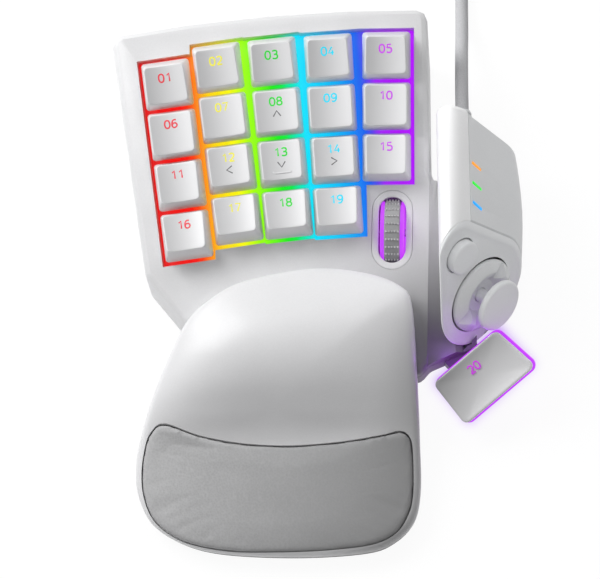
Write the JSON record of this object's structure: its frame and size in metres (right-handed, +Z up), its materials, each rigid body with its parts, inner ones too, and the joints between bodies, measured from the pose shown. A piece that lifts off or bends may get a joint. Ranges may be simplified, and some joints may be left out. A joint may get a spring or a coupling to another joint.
{
  "type": "gaming keypad",
  "caption": "Left-hand gaming keypad with backlit finger keys on a sloping deck, a click wheel, a thumb module and a cushioned sliding palm rest on a braided cable.",
  "frame": {"origin": "middle of the footprint without the cable, on the desk that the feet stand on", "axes": "+Z up; -Y towards the user, so the palm rest is at -Y and the cable leaves at +Y; +X to the user's right, where the thumb module is"},
  "size_m": [0.1549, 0.3299, 0.0599],
  "materials": {
    "key_caps": "satin",
    "case_white": "matt, finely textured",
    "case_grey": "satin",
    "case_dark": "matt",
    "palm_white": "gloss",
    "palm_cushion": "fine grained artificial leather",
    "light_diffuser": "lit, translucent",
    "dome_rubber": "matt",
    "circuit_board": "lacquered",
    "wheel_tyre": "matt, studded",
    "violet_light": "lit, translucent",
    "steel": "bright",
    "led_orange": "lit, translucent",
    "led_green": "lit, translucent",
    "led_blue": "lit, translucent",
    "foot_rubber": "matt",
    "cable_braid": "braided sleeve",
    "plug_plastic": "satin"
  },
  "bodies": {
    "base": {"bottom_cover": "case_white", "cable": "cable_braid", "cable_coil": "cable_braid", "cable_tie": "plug_plastic", "case_screw_1": "steel", "case_screw_2": "steel", "circuit_board": "circuit_board", "dome_sheet": "dome_rubber", "foot_front_left": "foot_rubber", "foot_module": "foot_rubber", "foot_rear_left": "foot_rubber", "foot_rear_right": "foot_rubber", "key_frame": "case_white", "led_lens_1": "led_orange", "led_lens_2": "led_green", "led_lens_3": "led_blue", "light_diffuser": "light_diffuser", "pod_face": "case_grey", "pod_shell": "case_white", "pod_side_panel": "case_grey", "strain_relief": "plug_plastic", "thumb_key_light_plate": "violet_light", "thumb_module_frame": "case_dark", "top_cover": "case_white", "usb_plug_body": "plug_plastic", "usb_plug_shell": "steel", "wheel_bezel": "case_white"},
    "key_01": {"key_01": "key_caps"},
    "key_02": {"key_02": "key_caps"},
    "key_03": {"key_03": "key_caps"},
    "key_04": {"key_04": "key_caps"},
    "key_05": {"key_05": "key_caps"},
    "key_06": {"key_06": "key_caps"},
    "key_07": {"key_07": "key_caps"},
    "key_08": {"key_08": "key_caps"},
    "key_09": {"key_09": "key_caps"},
    "key_10": {"key_10": "key_caps"},
    "key_11": {"key_11": "key_caps"},
    "key_12": {"key_12": "key_caps"},
    "key_13": {"key_13": "key_caps"},
    "key_14": {"key_14": "key_caps"},
    "key_15": {"key_15": "key_caps"},
    "key_16": {"key_16": "key_caps"},
    "key_17": {"key_17": "key_caps"},
    "key_18": {"key_18": "key_caps"},
    "key_19": {"key_19": "key_caps"},
    "key_20": {"key_20": "key_caps"},
    "wheel_cradle": {"wheel_cradle": "case_dark"},
    "wheel": {"wheel_tyre": "wheel_tyre", "wheel_rim": "violet_light", "wheel_axle": "steel"},
    "thumb_button": {"thumb_button": "case_grey"},
    "pad_pivot": {"pad_pivot": "case_dark"},
    "thumb_pad": {"thumb_pad": "case_grey", "thumb_stick": "case_grey"},
    "palm_rest": {"palm_rest_shell": "palm_white", "palm_rest_base": "case_dark", "palm_cushion": "palm_cushion", "foot_palm_left": "foot_rubber", "foot_palm_right": "foot_rubber"}
  },
  "joints": [
    {"name": "key_01_press", "type": "slide", "parent": "base", "child": "key_01", "axis": [0, 0.2419, -0.9703], "range_m": [0, 0.0035], "stiffness_N_per_m": 120, "springref_m": -0.002, "deforming": ["dome_sheet"]},
    {"name": "key_02_press", "type": "slide", "parent": "base", "child": "key_02", "axis": [0, 0.2419, -0.9703], "range_m": [0, 0.0035], "stiffness_N_per_m": 120, "springref_m": -0.002, "deforming": ["dome_sheet"]},
    {"name": "key_03_press", "type": "slide", "parent": "base", "child": "key_03", "axis": [0, 0.2419, -0.9703], "range_m": [0, 0.0035], "stiffness_N_per_m": 120, "springref_m": -0.002, "deforming": ["dome_sheet"]},
    {"name": "key_04_press", "type": "slide", "parent": "base", "child": "key_04", "axis": [0, 0.2419, -0.9703], "range_m": [0, 0.0035], "stiffness_N_per_m": 120, "springref_m": -0.002, "deforming": ["dome_sheet"]},
    {"name": "key_05_press", "type": "slide", "parent": "base", "child": "key_05", "axis": [0, 0.2419, -0.9703], "range_m": [0, 0.0035], "stiffness_N_per_m": 120, "springref_m": -0.002, "deforming": ["dome_sheet"]},
    {"name": "key_06_press", "type": "slide", "parent": "base", "child": "key_06", "axis": [0, 0.2419, -0.9703], "range_m": [0, 0.0035], "stiffness_N_per_m": 120, "springref_m": -0.002, "deforming": ["dome_sheet"]},
    {"name": "key_07_press", "type": "slide", "parent": "base", "child": "key_07", "axis": [0, 0.2419, -0.9703], "range_m": [0, 0.0035], "stiffness_N_per_m": 120, "springref_m": -0.002, "deforming": ["dome_sheet"]},
    {"name": "key_08_press", "type": "slide", "parent": "base", "child": "key_08", "axis": [0, 0.2419, -0.9703], "range_m": [0, 0.0035], "stiffness_N_per_m": 120, "springref_m": -0.002, "deforming": ["dome_sheet"]},
    {"name": "key_09_press", "type": "slide", "parent": "base", "child": "key_09", "axis": [0, 0.2419, -0.9703], "range_m": [0, 0.0035], "stiffness_N_per_m": 120, "springref_m": -0.002, "deforming": ["dome_sheet"]},
    {"name": "key_10_press", "type": "slide", "parent": "base", "child": "key_10", "axis": [0, 0.2419, -0.9703], "range_m": [0, 0.0035], "stiffness_N_per_m": 120, "springref_m": -0.002, "deforming": ["dome_sheet"]},
    {"name": "key_11_press", "type": "slide", "parent": "base", "child": "key_11", "axis": [0, 0.2419, -0.9703], "range_m": [0, 0.0035], "stiffness_N_per_m": 120, "springref_m": -0.002, "deforming": ["dome_sheet"]},
    {"name": "key_12_press", "type": "slide", "parent": "base", "child": "key_12", "axis": [0, 0.2419, -0.9703], "range_m": [0, 0.0035], "stiffness_N_per_m": 120, "springref_m": -0.002, "deforming": ["dome_sheet"]},
    {"name": "key_13_press", "type": "slide", "parent": "base", "child": "key_13", "axis": [0, 0.2419, -0.9703], "range_m": [0, 0.0035], "stiffness_N_per_m": 120, "springref_m": -0.002, "deforming": ["dome_sheet"]},
    {"name": "key_14_press", "type": "slide", "parent": "base", "child": "key_14", "axis": [0, 0.2419, -0.9703], "range_m": [0, 0.0035], "stiffness_N_per_m": 120, "springref_m": -0.002, "deforming": ["dome_sheet"]},
    {"name": "key_15_press", "type": "slide", "parent": "base", "child": "key_15", "axis": [0, 0.2419, -0.9703], "range_m": [0, 0.0035], "stiffness_N_per_m": 120, "springref_m": -0.002, "deforming": ["dome_sheet"]},
    {"name": "key_16_press", "type": "slide", "parent": "base", "child": "key_16", "axis": [0, 0.2419, -0.9703], "range_m": [0, 0.0035], "stiffness_N_per_m": 120, "springref_m": -0.002, "deforming": ["dome_sheet"]},
    {"name": "key_17_press", "type": "slide", "parent": "base", "child": "key_17", "axis": [0, 0.2419, -0.9703], "range_m": [0, 0.0035], "stiffness_N_per_m": 120, "springref_m": -0.002, "deforming": ["dome_sheet"]},
    {"name": "key_18_press", "type": "slide", "parent": "base", "child": "key_18", "axis": [0, 0.2419, -0.9703], "range_m": [0, 0.0035], "stiffness_N_per_m": 120, "springref_m": -0.002, "deforming": ["dome_sheet"]},
    {"name": "key_19_press", "type": "slide", "parent": "base", "child": "key_19", "axis": [0, 0.2419, -0.9703], "range_m": [0, 0.0035], "stiffness_N_per_m": 120, "springref_m": -0.002, "deforming": ["dome_sheet"]},
    {"name": "key_20_press", "type": "slide", "parent": "base", "child": "key_20", "axis": [0.1381, 0.4127, -0.9003], "range_m": [0, 0.003], "stiffness_N_per_m": 130, "springref_m": -0.002},
    {"name": "wheel_click", "type": "slide", "parent": "base", "child": "wheel_cradle", "axis": [0, 0.2419, -0.9703], "range_m": [0, 0.0006], "stiffness_N_per_m": 900, "springref_m": -0.001},
    {"name": "wheel_spin", "type": "hinge", "parent": "wheel_cradle", "child": "wheel", "pos_m": [0.02615, 0.0209, 0.01817], "axis": [0.9992, -0.0389, -0.0097], "continuous": true},
    {"name": "thumb_button_press", "type": "slide", "parent": "base", "child": "thumb_button", "axis": [-0.7194, 0.6144, -0.3239], "range_m": [0, 0.001], "stiffness_N_per_m": 500, "springref_m": -0.002},
    {"name": "pad_tilt_sideways", "type": "hinge", "parent": "base", "child": "pad_pivot", "pos_m": [0.05557, -0.00386, 0.02037], "axis": [-0.2463, 0.2104, 0.9461], "range_deg": [-5, 5], "stiffness_Nm_per_rad": 0.5},
    {"name": "pad_tilt_up_down", "type": "hinge", "parent": "pad_pivot", "child": "thumb_pad", "pos_m": [0.05557, -0.00386, 0.02037], "axis": [0.6494, 0.7604, 0], "range_deg": [-5, 5], "stiffness_Nm_per_rad": 0.5},
    {"name": "palm_rest_slide", "type": "slide", "parent": "base", "child": "palm_rest", "axis": [0, -1, 0], "range_m": [0, 0.012]}
  ]
}
